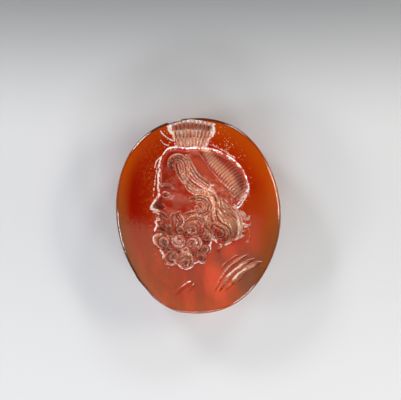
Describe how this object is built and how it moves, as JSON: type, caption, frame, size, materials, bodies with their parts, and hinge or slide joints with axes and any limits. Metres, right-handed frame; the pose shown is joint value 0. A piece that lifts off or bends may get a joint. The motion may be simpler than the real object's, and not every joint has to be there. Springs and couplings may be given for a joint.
{
  "type": "intaglio gem",
  "caption": "Oval domed ringstone of orange-red stone with a bearded head in profile, crowned by a small basket, sunk into its polished face.",
  "frame": {"origin": "middle of the flat back, under the middle of the stone's box", "axes": "+Z out of the engraved face, up as the stone lies; +Y along the stone's long axis towards the top of the figure; +X to the right as the figure is seen"},
  "size_m": [0.0134, 0.016, 0.0039],
  "materials": {
    "carnelian": "translucent orange-red stone, polished face, matter engraving"
  },
  "bodies": {
    "root": {"gem": "carnelian"}
  },
  "joints": []
}
